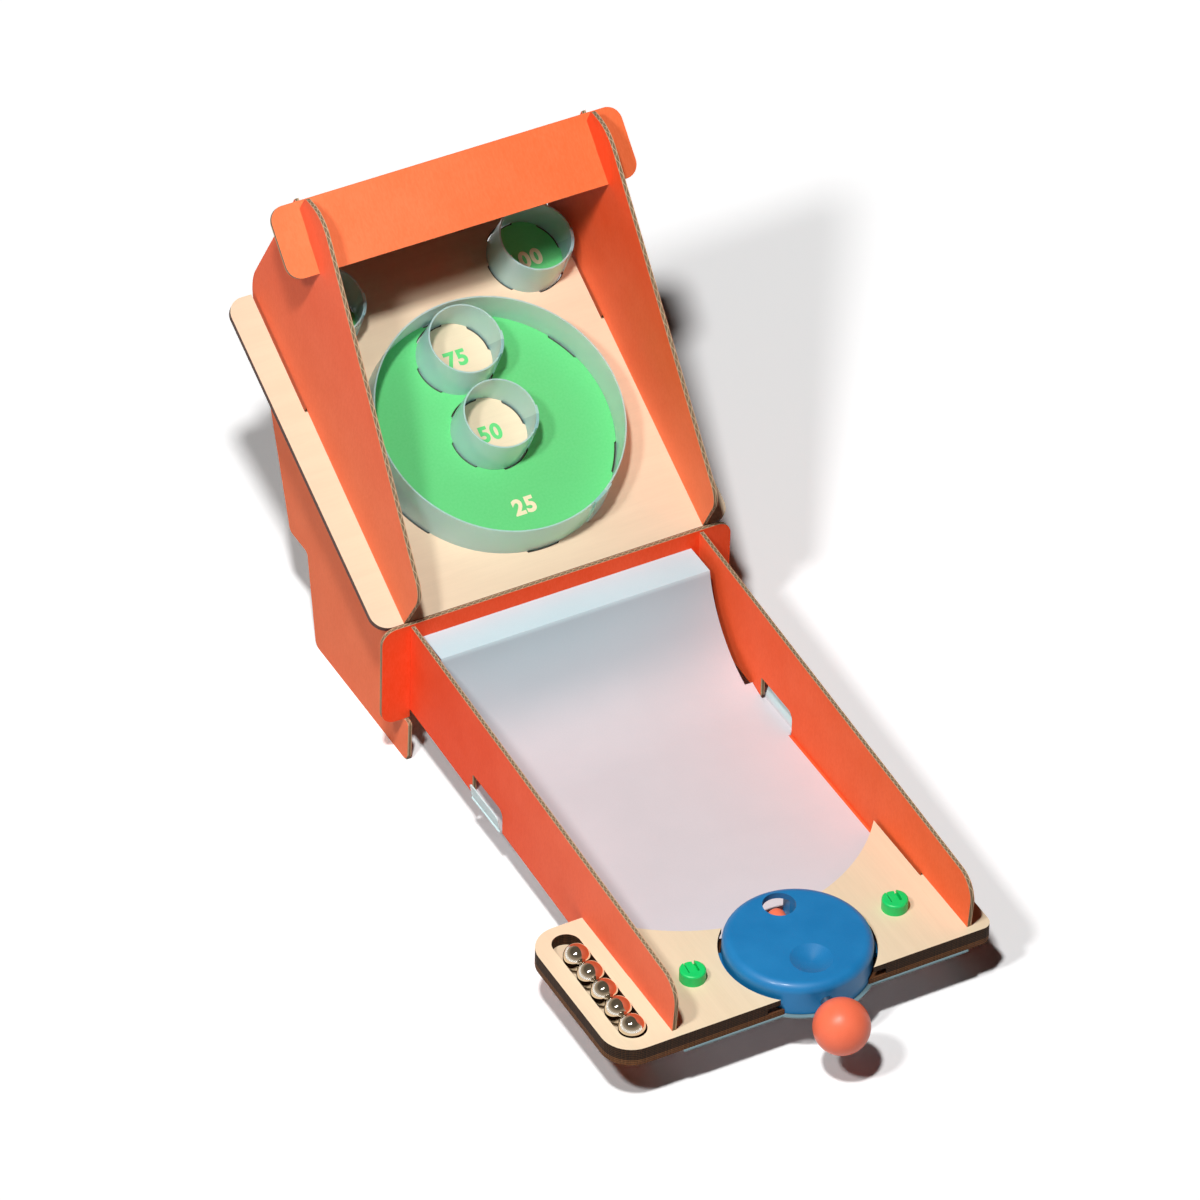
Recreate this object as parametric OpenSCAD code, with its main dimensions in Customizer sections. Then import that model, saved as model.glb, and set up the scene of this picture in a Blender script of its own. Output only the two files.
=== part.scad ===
// Tabletop roller ramp game: a turning ball launcher on a plywood deck, a cardboard lane
// with a frosted plastic floor that curves up into a ramp, and a sloping target board
// with scoring rings, held between two cardboard side panels under a header strip.
// Millimetres. X is to the player's right, Y away from the player, Z up, table at Z = 0.

/* [Stock] */
// Thickness of the cardboard
card_t = 2; // [1.6:0.1:2.6]
// Thickness of one plywood layer
ply_t = 3; // [2.4:0.1:3.6]
// Thickness of the frosted plastic of the lane sheet
sheet_t = 0.6; // [0.4:0.1:1]
// Thickness of the plastic strip of the scoring rings
strip_t = 0.7; // [0.5:0.1:1]
// Slack on each side of a slot around the sheet it holds
slot_slack = 0.1; // [0.05:0.05:0.2]
// Room left at the end of the long slots
slot_relief = 1.6; // [0.5:0.1:2.5]

/* [Deck] */
// Reach of the deck to the left of the lane's middle, with the ball tray
deck_left = 101.5; // [96:0.5:110]
// Reach of the deck to the right of the lane's middle
deck_right = 82; // [78:0.5:90]
// Depth of the deck from its front edge to its rear edge
deck_d = 84; // [78:0.5:92]
// Radius of the curved bay in the rear edge
bay_r = 88; // [80:1:110]
// Room on the inner side of the slots that take the lane walls
deck_play = 1.4; // [0.1:0.1:2]
// Radius of the two corners beside the ball tray
tray_corner_r = 14; // [6:1:18]
// Radius of the right-hand corners
right_corner_r = 5; // [2:0.5:7]

/* [Ball tray] */
// Diameter of a steel ball
ball_d = 12; // [10:0.5:12.5]
// Gap between neighbouring balls and under each ball
ball_gap = 0.3; // [0.2:0.1:0.5]
// Width of the tray slot
tray_w = 13; // [12.9:0.1:14]
// Distance of the slot's front end from the deck's front edge
tray_front = 7; // [6:0.5:9]
// Distance of the slot's rear end from the deck's rear edge
tray_rear = 5.5; // [4.5:0.5:8]
// Distance of the slot's middle line from the lane's middle
tray_x = 87; // [85:0.5:90]

/* [Lane] */
// Width between the lane walls
lane_w = 142; // [138:0.5:144]
// Distance from the deck's front edge to the cross wall
lane_len = 244; // [238:0.5:252]
// Height of the lane floor above the table
lane_z = 22.6; // [20:0.2:28]
// Height of the lane walls above the deck at their front end
wall_front_h = 25.5; // [20:0.5:32]
// Height of the lane walls above the deck at the cross wall
wall_rear_h = 42; // [38:0.5:42.5]
// Radius of the front end of the lane walls
wall_nose_r = 11; // [4:0.5:14]
// Setback of the wall's nose from the deck's front edge
wall_setback = 2; // [1:0.5:6]
// Length of the slot in the deck that takes the lane wall
deck_slot_len = 40.5; // [30:0.5:48]
// Lean of the wall's nose
nose_lean = 2; // [0:0.5:4]
// Drop of the walls' lower edge below the lane floor, behind the leg
wall_drop = 4; // [1:0.2:6]
// Rise of the walls' lower edge over its length
wall_lift = 8; // [0:0.2:10]
// Length that the lane walls run on behind the cross wall
wall_tail = 8; // [5:0.5:12]
// Foot of the wall's front leg on the table, nearer end
leg_front = 27; // [20:0.5:32]
// Foot of the wall's front leg on the table, further end
leg_rear = 68; // [56:0.5:72]
// Run of the leg's slanted edges
leg_run = 14; // [8:0.5:18]
// Drop of the leg's front shoulder below the deck
leg_drop = 9; // [6:0.5:12]
// Run of the leg's front edge above its shoulder
leg_lip = 3; // [1:0.5:5]
// Radius of the leg's corners
leg_r = 4; // [2:0.5:6]
// Radius of the wall's rear corners
wall_r = 3; // [1:0.5:5]
// Width of the ledge on the walls that carries the edge of the lane sheet
ledge_w = 4; // [3:0.5:8]
// Thickness of the ledge
ledge_t = 1; // [0.8:0.1:1.6]

/* [Lane sheet] */
// Gap between the sheet's long edges and the lane walls
sheet_gap = 1.6; // [1:0.1:2.5]
// Gap between the ramp's edges and the lane walls
ramp_gap = 4; // [2.5:0.1:6]
// Place where the floor starts to curve up
ramp_y = 173; // [168:0.5:180]
// Radius of the ramp
ramp_r = 55; // [48:0.5:58]
// Rise of the ramp above the floor
ramp_rise = 43.4; // [38:0.2:46]
// Front end of the side tabs
tab_y = 158; // [150:0.5:164]
// Length of the side tabs
tab_len = 26; // [18:0.5:30]
// Length of the side tabs from their fold
tab_out = 9; // [5:0.5:10]
// Upward bend of the side tabs
tab_bend = 78; // [20:1:85]
// Gap between the wall's outer face and the fold of the side tabs
tab_clear = 0.4; // [0.1:0.1:1]
// Corner radius of the side tabs
tab_r = 2; // [1:0.5:4]
// Length that the sheet keeps its full width past the tabs
tab_run = 8; // [4:0.5:12]
// Distance that the sheet's front edge shows under the deck's front edge
sheet_lip = 0.8; // [0:0.1:2]
// Height of the wall notch above the lane floor
notch_h = 11.6; // [10:0.2:14]
// Room between a tab and the ends of its notch
notch_room = 1; // [0.5:0.1:2]
// Radius of the notch's front corner
notch_r = 4; // [1:0.5:6]

/* [Cross wall] */
// Height of the cross wall's top above the deck
cross_h = 43; // [43:0.2:46]
// Half width of the cross wall over its side tabs
cross_half = 87; // [82:0.5:92]
// Height where the two halves of the lap joint meet, above the deck
lap_h = 15.4; // [8:0.5:24]
// Corner radius of the side tabs
cross_r = 7; // [3:0.5:10]

/* [Target board] */
// Width of the board
board_w = 177; // [168:0.5:186]
// Length of the board up its slope
board_len = 168; // [164:0.5:176]
// Slope of the board from level
board_slope = 28.2; // [25:0.2:31]
// Corner radius of the board
board_r = 8; // [3:0.5:12]
// Place up the slope where the panel slots meet
board_lap = 107.5; // [95:0.5:118]
// Room beside the side panels in the board's slots
board_play = 1.3; // [0.1:0.1:1.6]

/* [Scoring rings] */
// Height of the ring strips above the board
ring_h = 20.8; // [16:0.2:24]
// Taper of the rings, by which the rim's radius is smaller than the foot's
ring_taper = 1; // [0:0.1:1.6]
// Outer radius of the large ring's foot
big_r = 58.4; // [52:0.2:60]
// Outer radius of the small rings' feet
small_r = 17.9; // [14:0.1:18.2]
// Place of the large ring's middle up the slope
big_s = 72; // [66:0.5:74]
// Distance from the large ring's middle to the upper inner ring
inner_step = 38.3; // [37.8:0.1:39.8]
// Distance of the corner rings from the board's side edges
corner_inset = 36.5; // [35:0.5:42]
// Distance of the corner rings above the large ring's middle
corner_step = 74.6; // [70:0.2:76]
// Length of one tab of a ring strip
ring_tab = 14.6; // [8:0.2:16]
// Length of the lap where a strip's ends meet
ring_lap = 12; // [6:0.5:16]
// Slack of a ring tab in its slot, each side
ring_slack = 0.35; // [0.2:0.05:0.5]
// Length of the ring tabs that shows behind the board
tab_proud = 1.2; // [0.6:0.1:2]

/* [Side panels] */
// Gap between the left panel and the lane wall at the cross wall's top
left_gap = 0.2; // [0.1:0.1:1.5]
// Gap between the right panel and the lane wall at the cross wall's top
right_gap = 0.9; // [0.1:0.1:1.5]
// Inward lean of the left panel
left_lean = 0.8; // [0:0.1:3]
// Inward lean of the right panel
right_lean = 3.2; // [0:0.1:4]
// Turn of the left panel, its front edge inwards
left_turn = 0; // [0:0.1:2]
// Turn of the right panel, its front edge inwards
right_turn = 1.7; // [0:0.1:2]
// Height of the panels
panel_h = 238.8; // [234:0.2:246]
// Reach of the panel's rear point behind the cross wall
panel_reach = 154.2; // [150:0.2:160]
// Length of the panel's foot behind the cross wall
foot_len = 85; // [70:0.5:96]
// Height of the step in the panel's rear edge
heel_h = 46.5; // [30:0.5:54]
// Depth of the step in the panel's rear edge
heel_d = 17; // [8:0.5:22]
// Run of the foot's slanted rear edge
heel_run = 10; // [6:0.5:14]
// Reach of the panel's toe in front of the cross wall
toe = 4; // [3:0.5:8]
// Gap between the root of the wing and the cross wall's top
wing_gap = 0.6; // [0.3:0.1:1]
// Reach of the wing's belly in front of the cross wall
belly_y = 11.5; // [8:0.5:14]
// Height of the wing's belly above the cross wall's top
belly_h = 24.3; // [20:0.1:28]
// Radius of the wing's belly
belly_r = 12; // [6:0.5:16]
// Front end of the panel's crown behind the cross wall
crown_front = 87.3; // [84:0.1:92]
// Rear end of the panel's crown behind the cross wall
crown_rear = 102.8; // [100:0.2:110]
// Radius of the crown's front corner
crown_r = 18; // [10:0.5:20]
// Height of the panel's rear point above the board's front edge
point_h = 84.2; // [78:0.2:88]
// Radius of the panel's rear point
point_r = 22; // [6:0.5:26]
// Place up the header's slope where the panel's horn above it ends
horn_end = 29.2; // [26:0.1:32]
// Place up the header's slope where the panel's rear edge below it starts
rear_start = 34.6; // [30:0.1:36]
// Radius of the panel's lower corners
foot_r = 4; // [2:0.5:5]
// Radius of the small corners of the panel
nick_r = 3; // [1:0.5:4]

/* [Header] */
// Height of the header strip along its slope
header_h = 33; // [28:0.5:36]
// Slope of the header strip from level
header_slope = 45.9; // [42:0.1:50]
// Half width of the header strip over its side tabs
header_half = 86.2; // [82:0.1:90]
// Shift of the header strip to the right, between panels that lean unlike
header_shift = -1.2; // [-2:0.1:2]
// Corner radius of the header's side tabs
header_r = 7; // [3:0.5:10]
// Distance of the header's lower edge behind the cross wall
header_y = 87.3; // [84:0.1:90]
// Drop of the header's lower edge below the top of the panels
header_drop = 30.1; // [28:0.1:33]

/* [Launcher] */
// Radius of the launcher cap
cap_r = 32.6; // [30:0.2:33.2]
// Height of the cap's top above the lane floor
cap_h = 15.6; // [14.8:0.1:18]
// Rounding of the cap's top edge
cap_round = 4.2; // [1:0.2:4.6]
// Gap between the cap and the deck around it
cap_gap = 1.7; // [1:0.1:2.5]
// Running gap between the cap and the bottom deck layer that guides it
guide_gap = 0.4; // [0.3:0.05:0.6]
// Running gap under the cap and around its lugs
run_gap = 0.3; // [0.2:0.05:0.4]
// Distance of the launcher's pivot from the deck's front edge
cap_y = 25.8; // [24:0.2:28]
// Turn of the launcher from the lane's line, clockwise negative
aim = -7; // [-20:1:20]
// Reach of the two side lugs past the cap
lug_out = 4.4; // [3:0.2:5]
// Angle that each side lug spans
lug_span = 40; // [20:1:44]
// Diameter of the hole that a ball is loaded through
load_d = 14.6; // [13.5:0.1:15.5]
// Distance of the loading hole from the pivot
load_y = 21.3; // [20:0.1:22]
// Diameter of the finger dimple
dimple_d = 18.6; // [12:0.2:20]
// Depth of the finger dimple
dimple_depth = 2; // [0.8:0.1:2.2]
// Distance of the finger dimple from the pivot
dimple_y = 14.9; // [13:0.1:18]
// Slack of a ball in the rear mouth, each side
mouth_slack = 0.5; // [0.3:0.1:0.6]
// Thickness of the base plate
base_t = 1.2; // [1:0.1:1.6]
// Width of the cap's rim around the base plate
base_rim = 2.6; // [2:0.1:4]

/* [Plunger] */
// Diameter of the knob
knob_d = 25; // [20:0.5:26]
// Distance of the knob's middle from the pivot
knob_y = 49.3; // [47:0.1:54]
// Diameter of the rod
rod_d = 5; // [4:0.1:5.2]
// Slack of the rod in its guide, each side
rod_slack = 0.15; // [0.1:0.05:0.25]
// Length of the striker
striker_len = 17; // [12:0.5:18]
// Depth of the rod's seat in the striker
rod_seat = 4; // [3:0.5:6]
// Place of the striker's tip in front of the pivot
striker_y = 27.5; // [26:0.1:28.5]
// Slack of the striker in the spring chamber, each side
chamber_slack = 0.5; // [0.3:0.1:0.8]
// Place of the chamber's front end behind the pivot
chamber_y = 20; // [16:0.2:23]
// Diameter of the spring wire
wire_d = 0.8; // [0.5:0.1:0.9]
// Gap at each end of the spring
spring_gap = 0.1; // [0.05:0.05:0.2]
// Number of turns of the spring
spring_turns = 9; // [5:1:12]

/* [Pegs] */
// Distance of the pegs from the lane's middle
peg_x = 49.5; // [44:0.5:54]
// Distance of the pegs from the deck's front edge
peg_y = 29; // [24:0.5:34]
// Diameter of the peg's head
peg_head_d = 11.6; // [9:0.2:13]
// Height of the peg's head
peg_head_h = 5.6; // [4:0.1:7]
// Diameter of the peg's shank
peg_d = 6; // [4:0.1:6.4]
// Rounding of the peg's top edge
peg_round = 1; // [0.4:0.1:1.6]
// Width of the channel across the peg's top
peg_channel = 4.2; // [3:0.1:5]
// Depth of the channel
peg_channel_h = 1.2; // [0.8:0.1:1.6]
// Width of the slits beside the channel
peg_slit = 0.9; // [0.5:0.1:1.2]
// Depth of the slits
peg_slit_h = 2.6; // [1.8:0.1:3]
// Length of the barb under the sheet
peg_barb = 2.2; // [1.5:0.1:3]
// Reach of the barb past the shank
peg_catch = 1; // [0.5:0.1:1.4]
// Turn of the pegs, clockwise negative
peg_turn = -7; // [-20:1:20]

/* [Hidden] */
$fn = 96;
// Steps of an arc in a rounded outline
arc_steps = 10;
// A length that reaches past any face it has to cut
past = 600;

deck_z = lane_z;
deck_top = deck_z + 3 * ply_t;
under_z = lane_z - sheet_t;
inner_x = lane_w / 2;
outer_x = inner_x + card_t;
hole_r = cap_r + cap_gap;
guide_r = cap_r + guide_gap;
lug_r = cap_r + lug_out;
base_r = cap_r - base_rim;
groove_r = lug_r + cap_gap;
bay_y = deck_d + sqrt(pow(bay_r, 2) - pow(inner_x, 2));
slot_y = deck_d - deck_slot_len;
tray_len = deck_d - tray_front - tray_rear;
cross_y = lane_len;
cross_top = deck_top + cross_h;
cross_r_clear = min(cross_r, (cross_top - under_z) / 3);
lap_z = deck_top + lap_h;
// Front lower edge of the board, resting on the rear edge of the cross wall
board_y = cross_y + card_t + 3 * slot_slack;
board_z = cross_top;
board_cos = cos(board_slope);
board_sin = sin(board_slope);
// Distance of the corner rings from the board's middle line, clear of the panels
corner_x = min(board_w / 2 - corner_inset, inner_x - small_r - slot_relief / 2);
foot_rear = cross_y + foot_len;
rear_y = cross_y + panel_reach;
header_low = [cross_y + header_y, panel_h - header_drop];
plunger_z = lane_z + ball_d / 2;
cap_base = lane_z + run_gap;
cap_top = lane_z + cap_h;
striker_d = 2 * (plunger_z - cap_base - base_t - run_gap);
chamber_d = striker_d + 2 * chamber_slack;
striker_back = striker_y - striker_len;
lap_mid = header_h / 2;
ball_z = deck_z + ply_t + ball_d / 2;
ball_step = ball_d + ball_gap;
ball_front = tray_front + tray_w / 2 + ball_gap;

// Lean, turn and foot of a side panel, -1 for the left one and 1 for the right one
function lean_of(side) = side < 0 ? left_lean : right_lean;
function turn_of(side) = side < 0 ? left_turn : right_turn;
function foot_of(side) =
    outer_x + (side < 0 ? left_gap : right_gap) + cross_top * tan(lean_of(side));

// Middle of the slot for the header strip, as Y and Z, at a place up its slope
function header_slot(s) = header_low + s * [cos(header_slope), sin(header_slope)]
    + card_t / 2 * [sin(header_slope), -cos(header_slope)];

// Outline with rounded corners, from a list of [x, y, radius]
function unit(v) = v / norm(v);
function flat(lists) = [for (l = lists) each l];
function corner(a, b, c, r) =
    let (u = unit(a - b), v = unit(c - b))
    let (half = acos(u * v) / 2)
    let (mid = b + unit(u + v) * r / sin(half))
    let (p = b + u * r / tan(half) - mid, q = b + v * r / tan(half) - mid)
    let (from = atan2(p[1], p[0]), turn = atan2(p[0] * q[1] - p[1] * q[0], p * q))
    [for (i = [0 : arc_steps]) let (a = from + turn * i / arc_steps) mid + r * [cos(a), sin(a)]];
function xy(p) = [p[0], p[1]];
function rounded(pts) = let (n = len(pts)) flat([
    for (i = [0 : n - 1])
        pts[i][2] > 0
            ? corner(xy(pts[(i + n - 1) % n]), xy(pts[i]), xy(pts[(i + 1) % n]), pts[i][2])
            : [xy(pts[i])]
]);

// Side panel seen from the side, Y to the right and Z up
panel_path = rounded([
    [cross_y - toe, 0, foot_r],
    [cross_y - toe, under_z - 2 * slot_slack, nick_r / 2],
    [cross_y + card_t + 2 * slot_slack, under_z - 2 * slot_slack, 0],
    [cross_y + card_t + 2 * slot_slack, cross_top + wing_gap, 0],
    [cross_y - belly_y, cross_top + belly_h, belly_r],
    [cross_y + crown_front, panel_h, crown_r],
    [cross_y + crown_rear, panel_h, nick_r],
    concat(header_slot(horn_end), 0),
    concat(header_slot(rear_start), 0),
    [rear_y, board_z + point_h, point_r],
    [foot_rear + heel_run + heel_d, heel_h, nick_r],
    [foot_rear + heel_run, heel_h, nick_r],
    [foot_rear, 0, foot_r]
]);

// The whole part stands with the middle of its box over the origin
reach_left = deck_left;
reach_right = max(board_w / 2, header_half + header_shift, cross_half);
reach_front = cap_y - knob_y * cos(aim) - knob_d / 2;
reach_rear = max([for (p = panel_path) p[0]]);
origin = [(reach_right - reach_left) / 2, (reach_front + reach_rear) / 2, 0];

// Moves the lane's own frame to the part's frame
module placed() {
    translate(-origin) children();
}

// Draws an outline given as Y and Z, thick along X from x0
module side_cut(x0, thick) {
    translate([x0, 0, 0]) rotate([90, 0, 90]) linear_extrude(thick) children();
}

// Left-hand pieces are drawn on the right and mirrored
module on_side(side) {
    mirror([side < 0 ? 1 : 0, 0, 0]) children();
}

// Frame of the board: X across, Y up the slope, Z out of its face
module on_board() {
    translate([0, board_y, board_z]) rotate([board_slope, 0, 0]) children();
}

// Frame of the launcher: Y along the shot, Z up from the table
module on_launcher() {
    translate([0, cap_y, 0]) rotate([0, 0, aim]) children();
}

// Cylinder lying along the shot from y0 to y1 at the plunger's height
module along_shot(d, y0, y1) {
    translate([0, y0, plunger_z]) rotate([-90, 0, 0]) cylinder(d = d, h = y1 - y0);
}

// Frame of a side panel: X through the card from its inner face, Y and Z in the face
module on_panel(side) {
    on_side(side) translate([foot_of(side), cross_y, 0])
        rotate([0, -lean_of(side), -turn_of(side)]) translate([0, -cross_y, 0]) children();
}

// Slab in which a side panel lies, widened by a room on its left and a slack on its right
module panel_slab(side, room, slack) {
    inner = side > 0 ? room : slack;
    on_panel(side) translate([-inner, -past / 2, -past / 2])
        cube([card_t + room + slack, 2 * past, past * 1.5]);
}

// Deck layer seen from above
module deck_outline(side, cut_r) {
    reach = side < 0 ? deck_left : deck_right;
    corner_r = side < 0 ? tray_corner_r : right_corner_r;
    on_side(side) difference() {
        polygon(rounded([[0, 0, 0], [reach, 0, corner_r], [reach, deck_d, corner_r], [0, deck_d, 0]]));
        translate([0, cap_y]) circle(cut_r);
        translate([0, bay_y]) circle(bay_r);
        translate([inner_x - deck_play, slot_y - slot_relief])
            square([card_t + deck_play + slot_slack, deck_d]);
        translate([peg_x, peg_y]) circle(d = peg_d + 2 * rod_slack);
    }
}

module tray_slot() {
    run = tray_len - tray_w;
    translate([-tray_x, tray_front + tray_w / 2]) {
        circle(d = tray_w);
        translate([0, run]) circle(d = tray_w);
        translate([-tray_w / 2, 0]) square([tray_w, run]);
    }
}

// One half of one deck layer, counted from the bottom
module deck_layer(side, layer, cut_r, with_tray) {
    placed() translate([0, 0, deck_z + layer * ply_t]) linear_extrude(ply_t) difference() {
        deck_outline(side, cut_r);
        if (with_tray) tray_slot();
    }
}

module left_top_deck() { color("wheat") deck_layer(-1, 2, hole_r, true); }
module right_top_deck() { color("wheat") deck_layer(1, 2, hole_r, false); }
module left_middle_deck() { color("burlywood") deck_layer(-1, 1, groove_r, true); }
module right_middle_deck() { color("burlywood") deck_layer(1, 1, groove_r, false); }
module left_bottom_deck() { color("peru") deck_layer(-1, 0, guide_r, false); }
module right_bottom_deck() { color("peru") deck_layer(1, 0, guide_r, false); }

// Lane sheet seen from the side: level floor, curved ramp and level rear flap
module sheet_profile() {
    sweep = acos(1 - ramp_rise / ramp_r);
    top_y = ramp_y + ramp_r * sin(sweep);
    translate([-sheet_lip, under_z]) square([ramp_y + sheet_lip, sheet_t]);
    translate([ramp_y, lane_z + ramp_r]) intersection() {
        difference() {
            circle(ramp_r + sheet_t, $fn = 180);
            circle(ramp_r, $fn = 180);
        }
        polygon([
            [0, 0],
            [0, -past],
            2 * past * [sin(sweep / 2), -cos(sweep / 2)],
            past * [sin(sweep), -cos(sweep)]
        ]);
    }
    translate([top_y, lane_z + ramp_rise - sheet_t]) square([cross_y - slot_slack - top_y, sheet_t]);
}

// Stretch of the sheet between two places along the lane, of one half width
module sheet_band(half, y0, y1) {
    side_cut(-half, 2 * half) intersection() {
        sheet_profile();
        translate([y0, 0]) square([y1 - y0, past]);
    }
}

// Tab that goes through the wall's notch and is bent up outside it
module sheet_tab() {
    reach = card_t + tab_clear;
    translate([inner_x + reach, tab_y, under_z]) {
        translate([-sheet_gap - reach, 0, 0]) cube([sheet_gap + reach, tab_len, sheet_t]);
        rotate([0, -tab_bend, 0]) linear_extrude(sheet_t) polygon(rounded([
            [0, 0, 0],
            [tab_out, 0, tab_r],
            [tab_out, tab_len, tab_r],
            [0, tab_len, 0]
        ]));
        rotate([-90, 0, 0]) cylinder(r = sheet_t, h = tab_len, $fn = 24);
    }
}

module lane_sheet() {
    ramp_wide = tab_y + tab_len + tab_run;
    color("aliceblue") placed() difference() {
        union() {
            sheet_band(inner_x - sheet_gap, -sheet_lip, tab_y);
            sheet_band(inner_x - 2 * slot_slack, tab_y - 1, ramp_wide);
            for (side = [-1, 1]) on_side(side) sheet_tab();
            sheet_band(inner_x - ramp_gap, ramp_wide - 1, cross_y);
            translate([0, cap_y, under_z]) cylinder(r = hole_r, h = sheet_t);
        }
        for (side = [-1, 1])
            translate([side * peg_x, peg_y, 0]) cylinder(d = peg_d + 2 * rod_slack, h = past);
    }
}

// Lane wall seen from the side: the deck slides into its front slot, the lower prong is the leg
module wall_profile() {
    rear = cross_y + card_t + wall_tail;
    top_front = deck_top + wall_front_h;
    rise = (wall_rear_h - wall_front_h) / (cross_y - wall_setback);
    difference() {
        polygon(rounded([
            [wall_setback + nose_lean, deck_top, 0],
            [wall_setback, top_front, wall_nose_r],
            [rear, top_front + rise * (rear - wall_setback), wall_r],
            [rear, lane_z - wall_drop + wall_lift, wall_r],
            [leg_rear + leg_run, lane_z - wall_drop, leg_r],
            [leg_rear, 0, leg_r],
            [leg_front, 0, leg_r],
            [leg_front - leg_run, deck_z - leg_drop, leg_r],
            [leg_front - leg_run - leg_lip, deck_z, 0],
            [slot_y, deck_z, 0],
            [slot_y, deck_top, 0]
        ]));
        translate([cross_y - slot_slack, lap_z]) square([card_t + 2 * slot_slack, past]);
        polygon(rounded([
            [tab_y - notch_room, 0, 0],
            [tab_y - notch_room, lane_z + notch_h, notch_r],
            [tab_y + tab_len + notch_room, lane_z + notch_h, notch_room],
            [tab_y + tab_len + notch_room, 0, 0]
        ]));
    }
}

// Ledge along the wall's lower edge, from the leg to the notch, joined by half the card
module wall_ledge() {
    run = tab_y - notch_room - leg_rear;
    translate([inner_x, leg_rear, under_z - slot_slack - ledge_t]) {
        translate([-ledge_w, 0, 0]) cube([ledge_w + card_t / 2, run, ledge_t]);
        cube([card_t / 2, run, 2 * ledge_t]);
    }
}

module lane_wall(side) {
    color("orangered") placed() on_side(side) {
        side_cut(inner_x, card_t) wall_profile();
        wall_ledge();
    }
}

module left_lane_wall() { lane_wall(-1); }
module right_lane_wall() { lane_wall(1); }

// Upright wall across the end of the lane, seen from the front
module cross_wall() {
    slot_w = card_t + 2 * slot_slack;
    color("orangered") placed() translate([0, cross_y + card_t, 0])
        rotate([90, 0, 0]) linear_extrude(card_t) difference() {
            polygon(rounded([
                [-cross_half, under_z, cross_r_clear],
                [cross_half, under_z, cross_r_clear],
                [cross_half, cross_top, cross_r_clear],
                [-cross_half, cross_top, cross_r_clear]
            ]));
            for (side = [-1, 1])
                translate([side * (inner_x + card_t / 2) - slot_w / 2, 0]) square([slot_w, lap_z]);
        }
}

// Room that the board takes up, as seen by the side panels, up to the lap
module board_room(s_from, s_to) {
    on_board() translate([-past / 2, s_from, -ply_t - slot_slack])
        cube([past, s_to - s_from, ply_t + 2 * slot_slack]);
}

// Frame of the header strip: X across, Y up the slope, Z out of its front face
module on_header() {
    translate([0, header_low[0], header_low[1]]) rotate([header_slope, 0, 0]) children();
}

module header_room(s_from, s_to) {
    on_header() translate([-past / 2, s_from, -card_t - slot_slack])
        cube([past, s_to - s_from, card_t + 2 * slot_slack]);
}

// Side panel with its wing; the board and the header strip slide into its slots
module side_panel(side) {
    color("tomato") placed() difference() {
        on_panel(side) side_cut(0, card_t) polygon(panel_path);
        board_room(-past / 4, board_lap + slot_relief);
        header_room(lap_mid - slot_slack, past);
    }
}

module left_side_panel() { side_panel(-1); }
module right_side_panel() { side_panel(1); }

// Sector of a tube standing on the board, centred on an angle
module tube_arc(r_in, r_out, angle, span, z0, z1) {
    rotate([0, 0, angle - span / 2]) rotate_extrude(angle = span)
        translate([r_in, z0]) square([r_out - r_in, z1 - z0]);
}

// Slots in the board for the tabs of one ring strip
module ring_slots(r, count, first) {
    span = (ring_tab + 4 * ring_slack) / r * 180 / PI;
    for (i = [0 : count - 1])
        tube_arc(r - strip_t - ring_slack, r + ring_slack, first + i * 360 / count, span, -ply_t - 1, 1);
}

// Tabs, angle of the first tab and angle of the lap, of the large ring and of a small one
big_tabs = 6;
big_first = 30;
big_lap = -60;
small_tabs = 4;
small_first = 22;
small_lap = -23;
// Inset of the lap from the strip's edges
lap_inset = 0.3;

// Strip bent into a ring, its ends lapped, with tabs below that go through the board
module ring_strip(r, tabs, first, lap_at) {
    depth = ply_t + tab_proud;
    pitch = 360 / tabs;
    span = ring_tab / r * 180 / PI;
    lap = ring_lap / r * 180 / PI;
    rim = r - ring_taper;
    difference() {
        rotate_extrude() polygon([
            [r - strip_t, -depth], [r, -depth], [r, 0],
            [rim, ring_h], [rim - strip_t, ring_h], [r - strip_t, 0]
        ]);
        for (i = [0 : tabs - 1])
            tube_arc(r - 2 * strip_t, r + strip_t, first + (i + 0.5) * pitch, pitch - span, -2 * depth, 0);
    }
    rotate([0, 0, lap_at - lap / 2]) rotate_extrude(angle = lap) polygon([
        [r - strip_t / 2, lap_inset], [r + strip_t, lap_inset],
        [rim + strip_t, ring_h - lap_inset], [rim - strip_t / 2, ring_h - lap_inset]
    ]);
}

// Places of the five rings on the board: across, up the slope
big_at = [0, big_s, 0];
upper_at = [0, big_s + inner_step, 0];
corner_at = [corner_x, big_s + corner_step, 0];

module ring_25() {
    color("paleturquoise") placed() on_board() translate(big_at)
        ring_strip(big_r, big_tabs, big_first, big_lap);
}

module small_ring(at) {
    color("paleturquoise") placed() on_board() translate(at)
        ring_strip(small_r, small_tabs, small_first, small_lap);
}

module ring_50() { small_ring(big_at); }
module ring_75() { small_ring(upper_at); }
module left_ring_100() { small_ring([-corner_at[0], corner_at[1], 0]); }
module right_ring_100() { small_ring(corner_at); }

// Plywood board with slots for the side panels and for the tabs of the rings
module target_board() {
    half = board_w / 2;
    color("bisque") placed() difference() {
        on_board() translate([0, 0, -ply_t]) linear_extrude(ply_t) polygon(rounded([
            [-half, 0, board_r],
            [half, 0, board_r],
            [half, board_len, board_r],
            [-half, board_len, board_r]
        ]));
        for (side = [-1, 1]) intersection() {
            panel_slab(side, board_play, slot_slack);
            on_board() translate([-past / 2, board_lap - slot_slack, -past / 4])
                cube([past, past, past / 2]);
        }
        on_board() {
            translate(big_at) ring_slots(big_r, big_tabs, big_first);
            for (at = [big_at, upper_at, corner_at, [-corner_at[0], corner_at[1], 0]])
                translate(at) ring_slots(small_r, small_tabs, small_first);
        }
    }
}

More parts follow.
